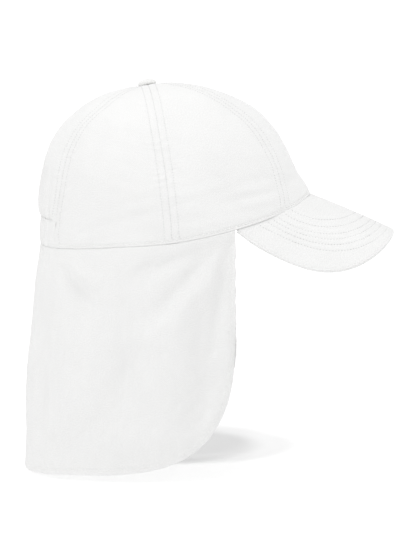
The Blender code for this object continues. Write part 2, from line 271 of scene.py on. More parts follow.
def wrinkles(turn, latitude):
    """Soft unevenness of cloth over a head, and the faint level creases just above the rim."""
    place = skin(turn, latitude)
    broad = BROAD_WRINKLE * soft_noise(place, 0.045, 1) + SMALL_WRINKLE * soft_noise(place, 0.016, 2)
    level = place * np.array([LEVEL_STRETCH, LEVEL_STRETCH, 1.0])
    near_rim = bell(place[..., 2] + 0.3 * RIM_DIP - 0.010, 0.016)
    fade = smooth_step((math.radians(86.0) - latitude) / math.radians(20.0))
    return (broad + LEVEL_CREASE * soft_noise(level, 0.0062, 3) * near_rim) * fade


def gore_lift(turn, latitude):
    """All that the sewing and the wearing do to a gore."""
    return seam_relief(turn, latitude) + rim_relief(turn, latitude) + wrinkles(turn, latitude)


def crowded(count, pull=0.6):
    """Shares from 0 to 1 that lie closer together towards both ends."""
    share = np.linspace(0.0, 1.0, count)
    return share - pull * np.sin(2.0 * math.pi * share) / (2.0 * math.pi)


def gore_grid(left, right, columns, foot_height=0.0, lift=gore_lift):
    """Points of one gore and its lay on the cutting table, between two seams, up from its foot."""
    across = crowded(columns + 1)[None, :]
    share = np.linspace(0.0, 1.0, GORE_ROWS + 1)[:, None] ** GORE_ROW_CROWDING
    level = np.zeros((1, 1))
    foot = latitude_above_rim(left(level) + (right(level) - left(level)) * across, foot_height)
    latitude = foot + (TOP_LATITUDE - foot) * share
    start, end = left(latitude), right(latitude)
    start = start + SEAM_SLIT / length_per_turn(start, latitude)
    end = end - SEAM_SLIT / length_per_turn(end, latitude)
    turn = start + (end - start) * across
    middle = 0.5 * (start + end)
    sideways = (turn - middle) * length_per_turn(turn, latitude)
    lay = np.stack([sideways, latitude * CROWN_HEIGHT * 1.1], axis=-1)
    outer = worn(crown_face(turn, latitude, lift(turn, latitude)))
    return outer, lay, fold_thickness(turn, latitude, CLOTH)


def grid_normals(grid):
    return unit(np.cross(np.gradient(grid, axis=1), np.gradient(grid, axis=0)))


def add_mesh(name, points, faces, lay, material, node=None):
    """A piece of the cap from its points and faces, in the place of a plain solid if it has one.

    The lay is where each point lies on the cutting table; thread has none and takes a plain one.
    """
    mesh = bpy.data.meshes.new(name)
    mesh.from_pydata(points.reshape(-1, 3).tolist(), [], list(faces))
    corners = np.empty(len(mesh.loops), dtype=np.int32)
    mesh.loops.foreach_get("vertex_index", corners)
    layer = mesh.uv_layers.new(name="lay")
    if lay is not None:
        layer.data.foreach_set("uv", lay.reshape(-1, 2)[corners].ravel())
    mesh.shade_smooth()
    mesh.set_sharp_from_angle(angle=math.radians(60.0))
    mesh.materials.append(material)
    piece = bpy.data.objects.new(name, mesh)
    bpy.context.scene.collection.objects.link(piece)
    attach(piece, "root")
    if node:
        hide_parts(node)
    return piece


def grid_faces(rows, columns, first=0):
    """Quads of a grid whose points are counted row by row."""
    corner = (np.arange(rows - 1)[:, None] * columns + np.arange(columns - 1)[None, :]).ravel() + first
    return np.stack([corner, corner + 1, corner + columns + 1, corner + columns], axis=1)


def add_cloth(name, outer, lay, thickness, material, slot, node=None):
    """A sheet of cloth of one thickness, from a grid of points on its outer side, with a closed edge."""
    rows, columns = outer.shape[:2]
    count = rows * columns
    inner = outer - grid_normals(outer) * np.asarray(thickness)[..., None]
    numbers = np.arange(count).reshape(rows, columns)
    edge = np.concatenate([numbers[0, :-1], numbers[:-1, -1], numbers[-1, :0:-1], numbers[:0:-1, 0]])
    after = np.roll(edge, -1)
    faces = np.concatenate(
        [
            grid_faces(rows, columns),
            grid_faces(rows, columns, count)[:, ::-1],
            np.stack([after, edge, edge + count, after + count], axis=1),
        ]
    )
    return add_mesh(name, np.stack([outer, inner]), faces, np.stack([lay, lay]), material, node)


def link(tree, source, target):
    tree.links.new(source, target)


def ridges(tree, lay, direction, pitch, distortion):
    """Threads that lie side by side, a given pitch apart."""
    wave = tree.nodes.new("ShaderNodeTexWave")
    wave.bands_direction = direction
    wave.inputs["Scale"].default_value = 2.0 * math.pi / (20.0 * pitch)
    wave.inputs["Distortion"].default_value = distortion
    wave.inputs["Detail"].default_value = 1.0
    wave.inputs["Detail Scale"].default_value = 0.6
    link(tree, lay, wave.inputs["Vector"])
    return wave.outputs["Fac"]


def noise(tree, source, size, detail):
    """An even cloud of a given grain."""
    cloud = tree.nodes.new("ShaderNodeTexNoise")
    cloud.inputs["Scale"].default_value = 1.0 / size
    cloud.inputs["Detail"].default_value = detail
    link(tree, source, cloud.inputs["Vector"])
    return cloud.outputs["Fac"]


def combine(tree, operation, first, second):
    """A sum, a difference or a product of textures or numbers."""
    joined = tree.nodes.new("ShaderNodeMath")
    joined.operation = operation
    for socket, value in zip(joined.inputs, (first, second)):
        if isinstance(value, float):
            socket.default_value = value
        else:
            link(tree, value, socket)
    return joined.outputs[0]


def mixed(tree, parts):
    """The sum of textures, each times its weight."""
    total = None
    for texture, weight in parts:
        part = combine(tree, "MULTIPLY", texture, weight)
        total = part if total is None else combine(tree, "ADD", total, part)
    return total


def cotton(name, colour, thread, roughness=0.88, sheen=0.22, relief=0.00012):
    """Twill: diagonal ridges of threads crossed by finer ones, slubs, a slightly uneven white, and painted
    shade that colours the weave's low places a little darker.
    """
    material = bpy.data.materials.new(name)
    material.use_nodes = True
    tree = material.node_tree
    shader = tree.nodes["Principled BSDF"]
    shader.inputs["Roughness"].default_value = roughness
    shader.inputs["Specular IOR Level"].default_value = 0.25
    shader.inputs["Sheen Weight"].default_value = sheen
    shader.inputs["Sheen Roughness"].default_value = 0.55
    lay_map = tree.nodes.new("ShaderNodeUVMap")
    lay_map.uv_map = "lay"
    lay = lay_map.outputs["UV"]
    body = tree.nodes.new("ShaderNodeTexCoord").outputs["Object"]
    twill = ridges(tree, lay, "DIAGONAL", 1.4 * thread, 0.8)
    weft = ridges(tree, lay, "Y", thread, 0.5)
    slub = noise(tree, lay, 5.0 * thread, 3.0)
    height = mixed(tree, ((twill, 0.65), (weft, 0.35), (slub, 0.7)))
    bump = tree.nodes.new("ShaderNodeBump")
    bump.inputs["Strength"].default_value = 0.55
    bump.inputs["Distance"].default_value = relief
    link(tree, height, bump.inputs["Height"])
    link(tree, bump.outputs["Normal"], shader.inputs["Normal"])
    cloudy = noise(tree, body, 0.030, 2.0)
    fleck = noise(tree, lay, 1.5 * thread, 1.0)
    # Colour: random cloudy and flecked tone, plus the weave's height so its low places are coloured darker,
    # which is painted shade.
    uneven_white_and_groove_shade = mixed(tree, ((cloudy, 0.2), (fleck, 1.3), (height, 0.15)))
    ramp = tree.nodes.new("ShaderNodeValToRGB")
    low, high = ramp.color_ramp.elements
    low.position, high.position = 0.35, 0.95
    low.color = (*(0.88 * part for part in colour), 1.0)
    high.color = (*(min(1.02 * part, 1.0) for part in colour), 1.0)
    link(tree, combine(tree, "SUBTRACT", uneven_white_and_groove_shade, 0.28), ramp.inputs["Fac"])
    link(tree, ramp.outputs["Color"], shader.inputs["Base Color"])
    return material


crown_cotton = cotton("crown_cotton_twill", WHITE, TWILL_THREAD)

front_grid = gore_grid(lambda at: -seam_turn(0, at), lambda at: seam_turn(0, at), 104)
add_cloth("gore_front", *front_grid, crown_cotton, "crown_cloth", "panel_front")
for place, seam in (("front", 0), ("back", 1)):
    grid = gore_grid(lambda at: seam_turn(seam, at), lambda at: seam_turn(seam + 1, at), 96)
    add_cloth(f"gore_side_{place}_left", *grid, crown_cotton, "crown_cloth", f"panel_side_{place}_left")
    grid = gore_grid(lambda at: -seam_turn(seam + 1, at), lambda at: -seam_turn(seam, at), 96)
    add_cloth(f"gore_side_{place}_right", *grid, crown_cotton, "crown_cloth", f"panel_side_{place}_right")

# Gathered back gore
# The sixth wedge is wider than the space between the back seams. Elastic in the band below draws it
# up, so that it puffs out just above the band and folds into upright gathers that die out higher up.
BACK_BAND_WIDTH = 0.0205
GATHER_PITCH = 0.0105
GATHER_DEPTH = 0.0013
GATHER_RISE = 0.0200
PUFF_DEPTH = 0.0011
PUFF_RISE = 0.0110
PLEAT_PLACE = 0.0188
PLEAT_RISE = 0.016
PLEAT_DEPTH = 0.0034
PLEAT_WIDTH = 0.0016
PLEAT_LIP = 0.0010
PLEAT_LIP_WAY = 0.0042
PLEAT_LIP_WIDTH = 0.0024
CREASE_DEPTH = 0.0008
FINE_GATHER = 0.00022
FINE_GATHER_PITCH = 0.0047
FOOT_BEHIND_BAND = 0.0010
FOOT_SINK = 0.00035
FOOT_RISE = 0.004


def gather_wave(turn, latitude):
    """The gathers' height from -1 to 1, how much they count there, and the way from the back's middle."""
    off = np.asarray(turn) - math.pi
    half = math.pi - seam_turn(2, latitude)
    place = skin(turn, latitude)
    along = off * np.hypot(place[..., 0], place[..., 1])
    drift = 1.3 * np.sin(along / GATHER_PITCH)
    wave = np.cos(2.0 * math.pi * along / GATHER_PITCH + drift)
    return wave, np.maximum(1.0 - (off / half) ** 4, 0.0), along


def gather_lift(turn, latitude):
    """How far the cloth at the back stands out, where the elastic gathers it and it puffs out above."""
    wave, beside, _ = gather_wave(turn, latitude)
    above = above_rim(turn, latitude) - BACK_BAND_WIDTH
    puff = PUFF_DEPTH * above / PUFF_RISE * np.exp(1.0 - above / PUFF_RISE)
    free = puff + GATHER_DEPTH * (wave - 0.5) * np.exp(-np.maximum(above, 0.0) / GATHER_RISE)
    held = 0.5 * GATHER_DEPTH * (wave - 1.0)
    return np.where(above <= 0.0, held, free) * beside


def back_lift(turn, latitude):
    """The back gore from its foot behind the band's top edge, with a deep pleat on each side."""
    wave, beside, along = gather_wave(turn, latitude)
    above = above_rim(turn, latitude) - BACK_BAND_WIDTH
    fade = np.exp(-np.maximum(above, 0.0) / PLEAT_RISE)
    beyond = np.abs(along) - PLEAT_PLACE
    pleat = PLEAT_LIP * bell(beyond + PLEAT_LIP_WAY, PLEAT_LIP_WIDTH)
    pleat = pleat - PLEAT_DEPTH * bell(beyond, PLEAT_WIDTH)
    crease = -CREASE_DEPTH * (0.5 - 0.5 * wave) ** 5
    crease = crease + FINE_GATHER * np.sin(2.0 * math.pi * along / FINE_GATHER_PITCH)
    free = gather_lift(turn, latitude) + (pleat + crease) * fade * beside
    held = 0.5 * GATHER_DEPTH * (wave - 1.0) * beside - FOOT_SINK
    risen = held + (free - held) * smooth_step(above / FOOT_RISE)
    return risen + seam_relief(turn, latitude) + wrinkles(turn, latitude)


back_grid = gore_grid(
    lambda at: seam_turn(2, at),
    lambda at: 2.0 * math.pi - seam_turn(2, at),
    150,
    BACK_BAND_WIDTH - FOOT_BEHIND_BAND,
    back_lift,
)
add_cloth("gore_back", *back_grid, crown_cotton, "crown_cloth", "panel_back")

# Elasticated back band
# A folded casing of the same twill, sewn to the back gore's lower edge between the two back seams. The
# elastic inside is shorter than the casing, so the casing stands up in small upright ridges.
BACK_BAND_THICKNESS = 0.0024
BAND_ROWS = 40
BAND_COLUMNS = 220
BAND_CLOTH = 0.0020
BAND_PINCH = 0.0004
BAND_ROLL = 0.0001
BAND_RIDGE = 0.00028
BAND_RIDGE_PITCH = 0.0041


def band_lift(turn, latitude):
    """The casing's ridges, pinched in along both edges by the rows that close it."""
    _, beside, along = gather_wave(turn, latitude)
    share = above_rim(turn, latitude) / BACK_BAND_WIDTH
    pinch = -BAND_PINCH * (bell(share - 0.07, 0.05) + bell(share - 0.93, 0.05))
    roll = -BAND_ROLL * (smooth_step((0.035 - share) / 0.035) + smooth_step((share - 0.965) / 0.035))
    ridge = np.sin(2.0 * math.pi * along / BAND_RIDGE_PITCH + 2.0 * share) * bell(share - 0.5, 0.45)
    proud = 0.25 * (BACK_BAND_THICKNESS - CLOTH) * beside
    return proud + gather_lift(turn, latitude) + pinch + roll + BAND_RIDGE * ridge * beside


band_start = seam_turn(2, 0.0) + SEAM_SLIT / length_per_turn(seam_turn(2, 0.0), 0.0)
band_turn = np.linspace(band_start, 2.0 * math.pi - band_start, BAND_COLUMNS + 1)[None, :]
band_height = np.linspace(0.0, BACK_BAND_WIDTH, BAND_ROWS + 1)[:, None]
band_latitude = latitude_above_rim(band_turn + 0.0 * band_height, band_height)
band_turn = band_turn + 0.0 * band_latitude
band_face = worn(crown_face(band_turn, band_latitude, band_lift(band_turn, band_latitude)))
band_lay = np.stack([band_turn * 0.095 * 1.3, band_height + 0.0 * band_turn], axis=-1)
band_thickness = fold_thickness(band_turn, band_latitude, BAND_CLOTH)
below_top = smooth_step((BACK_BAND_WIDTH - band_height) / EDGE_FOLD_REACH)
band_thickness = EDGE_FOLD + (band_thickness - EDGE_FOLD) * below_top
add_cloth("back_band_casing", band_face, band_lay, band_thickness, crown_cotton, "crown_cloth", "back_band")

# Top button
# A small metal shell covered with a disc of the same twill, pressed on where the six gores meet.
BUTTON_DIAMETER = 0.0138
BUTTON_HEIGHT = 0.0047
BUTTON_EDGE = 0.0012
BUTTON_EDGE_SHAPE = (
    # share of the radius and of BUTTON_EDGE, down the rounded edge and in under the foot
    (0.995, 0.72),
    (0.96, 0.42),
    (0.90, 0.16),
    (0.82, 0.0),
    (0.5, -0.05),
    (0.05, -0.05),
)
BUTTON_STEPS = 72
BUTTON_WHITE = (0.82, 0.82, 0.81)
GAP = 0.0003


def button_points():
    """Points of the covered button: a low dome, a rounded edge and a flat foot, turned about its middle."""
    radius = 0.5 * BUTTON_DIAMETER
    swing = np.radians(np.linspace(2.0, 90.0, 22))
    edge_out, edge_up = np.array(BUTTON_EDGE_SHAPE).T
    out = radius * np.concatenate([np.sin(swing), edge_out])
    dome = (BUTTON_HEIGHT - BUTTON_EDGE) * np.cos(swing) ** 0.9
    up = np.concatenate([BUTTON_EDGE + dome, BUTTON_EDGE * edge_up])
    turn = np.linspace(0.0, 2.0 * math.pi, BUTTON_STEPS, endpoint=False)
    ripple = 1.0 + 0.010 * np.sin(9.0 * turn)[None, :] * (out / radius)[:, None] ** 4
    x = out[:, None] * np.cos(turn) * ripple
    y = out[:, None] * np.sin(turn) * ripple
    return np.stack([x, y, up[:, None] + 0.0 * x], axis=-1)


def turned_faces(rows, steps):
    """Faces of a turned form, closed at its top and its foot."""
    step = np.arange(steps)
    after = (step + 1) % steps
    low = np.arange(rows - 1)[:, None] * steps
    corners = (low + step, low + step + steps, low + after + steps, low + after)
    sides = np.stack(np.broadcast_arrays(*corners), axis=-1).reshape(-1, 4).tolist()
    return sides + [step.tolist(), ((rows - 1) * steps + step[::-1]).tolist()]


button = button_points()
button_seat = skin(np.array(0.0), np.array(0.5 * math.pi)) + np.array([0.0, 0.0, -2.0 * GAP])
add_mesh(
    "covered_button",
    worn(button + button_seat),
    turned_faces(*button.shape[:2]),
    button[..., :2],
    cotton("button_cotton_twill", BUTTON_WHITE, TWILL_THREAD),
    "top_button",
)

# Sweatband
# A folded strip of soft cotton that lines the rim from one back seam round the front to the other. It
# is sewn to the rim along its lower edge and stands free above, so it curls in a little at its top.
SWEATBAND_WIDTH = 0.0280
SWEATBAND_THICKNESS = 0.0010
SWEATBAND_CURL = 0.0003
SWEATBAND_PINCH = 0.0003
SWEATBAND_PINCH_HEIGHT = 0.0035
SWEATBAND_WHITE = (0.80, 0.80, 0.79)


def tuck_depth(turn):
    """How far inside the crown's face the flap's top edge lies, under the gores or the back band."""
    from_back = np.abs(from_front(turn) - math.pi) / (math.pi - seam_turn(2, 0.0))
    at_back = smooth_step((1.25 - from_back) / 0.25)
    return CLOTH + GAP + SEAM_SINK + (BACK_BAND_THICKNESS + 0.5 * GATHER_DEPTH - CLOTH) * at_back


sweat_end = seam_turn(2, 0.0) - 0.002
sweat_turn = np.linspace(-sweat_end, sweat_end, 300)[None, :]
sweat_height = np.linspace(0.0, SWEATBAND_WIDTH, 30)[:, None]
sweat_latitude = latitude_above_rim(sweat_turn + 0.0 * sweat_height, sweat_height)
sweat_turn = sweat_turn + 0.0 * sweat_latitude
sweat_place = skin(sweat_turn, sweat_latitude)
sweat_depth = tuck_depth(sweat_turn) + CLOTH + GAP
uneven = 1.0 + soft_noise(sweat_place, 0.030, 8)
sweat_depth = sweat_depth + SWEATBAND_CURL * uneven * (sweat_height / SWEATBAND_WIDTH)
sweat_depth = sweat_depth + SWEATBAND_PINCH * bell(sweat_height - SWEATBAND_PINCH_HEIGHT, 0.0008)
sweat_face = worn(crown_face(sweat_turn, sweat_latitude, -sweat_depth))
sweat_lay = np.stack([sweat_turn * 0.095, sweat_height + 0.0 * sweat_turn], axis=-1)
sweat_cotton = cotton("sweatband_cotton", SWEATBAND_WHITE, 0.0009, 0.95, 0.3, 0.00025)
add_cloth(
    "sweatband_strip",
    sweat_face,
    sweat_lay,
    SWEATBAND_THICKNESS,
    sweat_cotton,
    "band_cloth",
    "sweatband",
)

# Peak
# A stiff board between two layers of twill, seamed round its outer edge and turned out, then sewn
# through in rows that follow that edge. It is bent to an arch and sewn into the front of the rim.
PEAK_REACH = 0.0708
PEAK_PATTERN_WIDTH = 0.1980
PEAK_SLOPE = math.radians(23.3)
PEAK_ARCH_RADIUS = 0.0810
PEAK_THICKNESS = 0.0020
PEAK_BELLY = 0.0008
PEAK_TURN = math.radians(63.0)
PEAK_CORNER_BACK = 0.0400
PEAK_CORNER_TAPER = 0.0052
PEAK_EDGE_ROUNDNESS = 2.6
PEAK_CORNER_WIDTH = 0.0030
PEAK_ROUND_SHARE = 0.78
PEAK_ROOT_IN = 0.0006
PEAK_ROOT_UP = 0.0004
PEAK_EDGE_ROUND = 0.0014
PEAK_CORNER_THIN = 0.35
PEAK_ROW_SINK = 0.00026
PEAK_ROW_WIDTH = 0.0006
PEAK_ROLL_SINK = 0.00022
PEAK_ROLL_PLACE = 0.0017
PEAK_GRID = (120, 261)
PEAK_ROWS = (
    # share of the way out at the middle, share of the half width where the row meets the crown
    (0.545, 0.53),
    (0.635, 0.61),
    (0.720, 0.69),
    (0.780, 0.74),
    (0.845, 0.79),
    (0.915, 0.86),
)


def peak_edge(along):
    """The outer edge on the flat pattern, as forward and sideways, from the middle to a corner."""
    half, power = 0.5 * PEAK_PATTERN_WIDTH, 2.0 / PEAK_EDGE_ROUNDNESS
    swing = 0.5 * math.pi * np.minimum(along / PEAK_ROUND_SHARE, 1.0)
    back = np.maximum(along - PEAK_ROUND_SHARE, 0.0) / (1.0 - PEAK_ROUND_SHARE)
    forward = PEAK_REACH * np.maximum(np.cos(swing), 0.0) ** power - PEAK_CORNER_BACK * back
    sideways = half * np.sin(swing) ** power - PEAK_CORNER_TAPER * back * back
    return forward, sideways


peak_lean = Matrix.Rotation(PEAK_SLOPE + CROWN_TILT, 4, "Y")
peak_place = Matrix.Translation(skin(np.array(0.0), np.array(0.0)).tolist()) @ peak_lean
peak_turned = np.array(peak_place.to_3x3())
peak_front = np.array(peak_place.to_translation())


def peak_face(across, out):
    """Points of the peak's top at shares across, from one corner to the other, and out from the rim."""
    along, side = np.abs(across), np.sign(across)
    turn = PEAK_TURN * across
    root = crown_face(turn, 0.0 * turn, -PEAK_ROOT_IN) + np.array([0.0, 0.0, PEAK_ROOT_UP])
    forward, sideways = peak_edge(along)
    bend = sideways / PEAK_ARCH_RADIUS
    flat = [forward, side * PEAK_ARCH_RADIUS * np.sin(bend), PEAK_ARCH_RADIUS * (np.cos(bend) - 1.0)]
    edge = np.stack(flat, axis=-1) @ peak_turned.T + peak_front
    width = np.linalg.norm(edge - root, axis=-1, keepdims=True)
    edge = np.where(width < PEAK_CORNER_WIDTH, root + unit(edge - root) * PEAK_CORNER_WIDTH, edge)
    share = np.asarray(out)[..., None]
    belly = PEAK_BELLY * np.sin(math.pi * share) * peak_turned[:, 2]
    return root + (edge - root) * share + belly


def peak_row(number, across):
    """The share of the way out of one row of stitches."""
    at_middle, ends = PEAK_ROWS[number]
    later = number / (len(PEAK_ROWS) - 1)
    share = np.clip(np.abs(across) / ends, 0.0, 1.0)
    return at_middle * (1.0 - share ** (1.5 + 0.2 * later)) ** (1.0 / (1.5 + 0.5 * later))


def way_to_line(points, line):
    """The shortest way from each point to a line of points."""
    nearest = []
    for some in np.array_split(points.reshape(-1, 3), 60):
        ways = np.linalg.norm(some[:, None, :] - line[None, :, :], axis=-1)
        nearest.append(ways.min(axis=1))
    return np.concatenate(nearest).reshape(points.shape[:-1])


peak_rows, peak_columns = PEAK_GRID
peak_across = np.linspace(1.0, -1.0, peak_columns)[None, :] + np.zeros((peak_rows, 1))
peak_out = np.sin(0.5 * math.pi * np.linspace(0.0, 1.0, peak_rows))[:, None] + 0.0 * peak_across
peak_base = peak_face(peak_across, peak_out)
peak_normal = -grid_normals(peak_base)
peak_normal = unit(np.where(peak_normal[..., 2:] < 0.0, -peak_normal, peak_normal))
from_edge = way_to_line(peak_base, peak_base[-1])
from_edge[-1] = 0.0
peak_relief = 0.00006 * soft_noise(peak_base, 0.018, 11) + 0.00004 * soft_noise(peak_base, 0.007, 12)
peak_lines = []
for number in range(len(PEAK_ROWS)):
    reach = 0.995 * PEAK_ROWS[number][1]
    steps = np.sin(np.linspace(-0.5 * math.pi, 0.5 * math.pi, 700)) * reach
    line = peak_face(steps, peak_row(number, steps))
    peak_lines.append(line)
    way = way_to_line(peak_base, line[::2])
    peak_relief = peak_relief - PEAK_ROW_SINK * bell(way, PEAK_ROW_WIDTH)
    peak_relief = peak_relief + 0.00006 * bell(way - 0.0022, 0.0012)
peak_relief = peak_relief - PEAK_ROLL_SINK * bell(from_edge - PEAK_ROLL_PLACE, 0.0005)
rounding = np.sqrt(1.0 - (1.0 - np.minimum(from_edge / PEAK_EDGE_ROUND, 1.0)) ** 2)
from_corner = smooth_step((1.0 - np.abs(peak_across)) / 0.08)
thick = PEAK_THICKNESS * (PEAK_CORNER_THIN + (1.0 - PEAK_CORNER_THIN) * from_corner)
fade_edge = smooth_step(from_edge / 0.0012)
peak_top = peak_base + peak_normal * (thick * (rounding - 1.0) + peak_relief * fade_edge)[..., None]
peak_under = peak_base - peak_normal * (thick + 0.6 * np.minimum(peak_relief, 0.0) * fade_edge)[..., None]
count = peak_rows * peak_columns
numbers = np.arange(count).reshape(peak_rows, peak_columns)
side_edge = np.concatenate([numbers[:, 0][::-1], numbers[0, 1:], numbers[1:, -1]])
peak_points = worn(np.concatenate([peak_top.reshape(-1, 3), peak_under.reshape(-1, 3)]))
peak_arc = PEAK_ARCH_RADIUS * np.arcsin(np.clip(peak_base[..., 1] / PEAK_ARCH_RADIUS, -1.0, 1.0))
peak_lay_grid = np.stack([peak_arc, peak_base[..., 0]], axis=-1)
under_faces = grid_faces(peak_rows, peak_columns, count)
top_faces = grid_faces(peak_rows, peak_columns)[:, ::-1]
edge_start, edge_end = side_edge[:-1], side_edge[1:]
side_faces = np.stack([edge_start, edge_end, edge_end + count, edge_start + count], axis=1)
peak = add_mesh(
    "stitched_peak",
    peak_points,
    np.concatenate([top_faces, under_faces, side_faces]),
    np.stack([peak_lay_grid, peak_lay_grid]),
    cotton("peak_cotton_twill", WHITE, TWILL_THREAD),
    "peak",
)


def tidy_mesh(piece):
    """Joins the two layers where they meet at the edge and turns all faces outward."""
    work = bmesh.new()
    work.from_mesh(piece.data)
    bmesh.ops.remove_doubles(work, verts=work.verts, dist=0.00001)
    bmesh.ops.recalc_face_normals(work, faces=work.faces)
    work.to_mesh(piece.data)
    work.free()
    piece.data.shade_smooth()
    piece.data.set_sharp_from_angle(angle=math.radians(60.0))


tidy_mesh(peak)

# Neck flap
# One sheet of the same twill, hemmed all round, with its top edge sewn up inside the rim from behind one
# end of the peak round the back to the other. It hangs free, so it falls in soft folds.
FLAP_TURN = math.radians(65.6)
FLAP_TUCK = 0.0060
FLAP_SIDE_LENGTH = 0.1711
FLAP_BACK_DROP = 0.0049
FLAP_BACK_LIFT = 0.0060
FLAP_BACK_FLARE = 0.0120
FLAP_SIDE_FLARE = 0.0050
FLAP_ROLL = 0.0010
FLAP_INSIDE = 0.0005
FLAP_STAND = 1.6
FLAP_FOLD_START = 0.018
FLAP_GATHER_DROP = 0.030
FLAP_CORNER_LENGTH = 0.1100
FLAP_CORNER_HEIGHT = 0.1070
FLAP_CORNER_ROUNDNESS = 2.85
FOLD_DEPTH = 0.0040
FOLD_WIDTH = 0.0100
FOLDS = (
    # from turn (degrees), from share of the drop, to turn, to share, share of FOLD_DEPTH, of FOLD_WIDTH
    (68.5, 0.04, 75.0, 0.60, -0.75, 0.50),
    (73.0, 0.02, 108.0, 0.13, -0.70, 0.70),
    (74.0, 0.06, 101.0, 0.34, -0.95, 0.80),
    (80.0, 0.32, 79.0, 0.85, -1.40, 1.30),
    (92.0, 0.30, 90.0, 0.95, 0.80, 1.50),
    (145.0, 0.02, 124.0, 0.17, 0.80, 0.60),
    (146.0, 0.07, 123.0, 0.30, -0.95, 0.70),
    (106.0, 0.46, 119.0, 0.82, -1.10, 1.20),
    (133.0, 0.40, 136.0, 0.98, 0.80, 1.60),
    (158.0, 0.30, 153.0, 0.98, -0.90, 1.10),
)
HEM_WIDTH = 0.0042
HEM_RISE = 0.00035
HEM_ROW = HEM_WIDTH - 0.0004
HEM_ROW_SINK = 0.00022
HEM_ROW_WIDTH = 0.0005
HEM_PUCKER = 0.00012
HEM_PUCKER_FRONT = 0.00020
FLAP_WAVE = 0.00060
FLAP_CRUMPLE = 0.00018
FLAP_GRID = (130, 281)


def flap_bottom(turn, ahead):
    """The height of the flap's lower edge under a point a given way ahead of the origin."""
    rim = worn(crown_face(np.array(FLAP_TURN), np.array(0.0)))
    level = -FLAP_SIDE_LENGTH - RIM_DIP - FLAP_BACK_DROP * np.minimum(np.cos(turn), 0.0) ** 4
    level = level + FLAP_BACK_LIFT * bell(from_front(turn) - math.pi, 0.30)
    share = np.clip((ahead - rim[0] + FLAP_CORNER_LENGTH) / FLAP_CORNER_LENGTH, 0.0, 1.0)
    rounding = 1.0 - share**FLAP_CORNER_ROUNDNESS
    return level + FLAP_CORNER_HEIGHT * (1.0 - rounding ** (1.0 / FLAP_CORNER_ROUNDNESS))


def fold_height(turn, share, drop):
    """The sum of all folds at a place on the flap, out from its plain shape."""
    radius = 0.25 * (CROWN_LENGTH + CROWN_WIDTH)
    place = np.stack([from_front(turn) * radius, share * drop], axis=-1)
    total = 0.0
    for from_turn, from_share, to_turn, to_share, height, width in FOLDS:
        start = np.array([math.radians(from_turn) * radius, from_share * drop])
        run = np.array([math.radians(to_turn) * radius, to_share * drop]) - start
        along = ((place - start) @ run) / (run @ run)
        nearest = start + run * np.clip(along, 0.0, 1.0)[..., None]
        fade = np.sin(math.pi * np.clip(0.12 + 0.76 * along, 0.0, 1.0))
        way = np.linalg.norm(place - nearest, axis=-1)
        total = total + FOLD_DEPTH * height * fade * bell(way, FOLD_WIDTH * width)
    return total


def flap_face(turn, share, lift=0.0):
    """Points of the flap's outer face; share 0 is its top edge inside the rim, 1 its hem."""
    drawn_in = -gather_lift(turn, 0.0 * turn)
    top = worn(crown_face(turn, latitude_above_rim(turn, FLAP_TUCK), -tuck_depth(turn)))
    creased = wrinkles(turn, 0.0 * turn) * smooth_step((seam_turn(2, 0.0) - from_front(turn)) / 0.05)
    rim = worn(crown_face(turn, 0.0 * turn, creased - FLAP_INSIDE - drawn_in))
    tuck = FLAP_TUCK / (FLAP_TUCK + FLAP_SIDE_LENGTH)
    down = np.maximum(share - tuck, 0.0) / (1.0 - tuck)
    bottom = flap_bottom(turn, rim[..., 0])
    ahead = unit(worn(skin_normal(turn, 0.0 * turn)) * np.array([1.0, 1.0, 0.0]))
    below = down * FLAP_SIDE_LENGTH
    spread = down * (2.0 - down)
    out = FLAP_STAND * FLAP_INSIDE * smooth_step(below / FLAP_ROLL)
    out = out + drawn_in * smooth_step(below / FLAP_GATHER_DROP)
    out = out + (fold_height(turn, down, FLAP_SIDE_LENGTH) + lift) * smooth_step(below / FLAP_FOLD_START)
    x = rim[..., 0] - FLAP_BACK_FLARE * np.maximum(-np.cos(turn), 0.0) * spread + ahead[..., 0] * out
    y = rim[..., 1] + FLAP_SIDE_FLARE * np.sin(turn) * spread + ahead[..., 1] * out
    z = rim[..., 2] + (bottom - rim[..., 2]) * down
    hanging = np.stack([x, y, z], axis=-1)
    tucked = top + (rim - top) * np.minimum(share / tuck, 1.0)[..., None]
    return np.where((share < tuck)[..., None], tucked, hanging)


flap_rows, flap_columns = FLAP_GRID
part = np.linspace(-1.0, 1.0, flap_columns)
from_back = (math.pi - FLAP_TURN) * (1.0 - (1.0 - np.abs(part)) ** 1.3)
flap_turns = math.pi + np.sign(part) * from_back
tuck_share = FLAP_TUCK / (FLAP_TUCK + FLAP_SIDE_LENGTH)
downs = tuck_share + (1.0 - tuck_share) * crowded(flap_rows)
shares = np.concatenate([np.linspace(0.0, tuck_share, 6)[:-1], downs])[::-1]
flap_turn = flap_turns[None, :] + 0.0 * shares[:, None]
flap_share = shares[:, None] + 0.0 * flap_turn
flap_plain = flap_face(flap_turn, flap_share)
hem_line = np.concatenate([flap_plain[::-1, 0][6:], flap_plain[0], flap_plain[:, -1][:-6]])
from_hem = way_to_line(flap_plain, hem_line)
front_hem = bell(from_front(flap_turn) - FLAP_TURN, 0.12)
pucker_depth = HEM_PUCKER + HEM_PUCKER_FRONT * front_hem
ripple = soft_noise(flap_plain, 0.0110, 21) * bell(from_hem - 0.0045, 0.0030) * pucker_depth
flap_relief = HEM_RISE * (1.0 - smooth_step((from_hem - HEM_WIDTH) / 0.0007)) + ripple
flap_relief = flap_relief - HEM_ROW_SINK * bell(from_hem - HEM_ROW, HEM_ROW_WIDTH)
flap_relief = flap_relief + FLAP_WAVE * soft_noise(flap_plain * np.array([1.0, 1.0, 0.5]), 0.035, 22)
flap_relief = flap_relief + FLAP_CRUMPLE * soft_noise(flap_plain, 0.012, 23)
flap_outer = flap_face(flap_turn, flap_share, flap_relief)
flap_lay = np.stack([flap_turn * 0.105, flap_plain[..., 2]], axis=-1)
flap_cotton = cotton("flap_cotton_twill", WHITE, TWILL_THREAD)
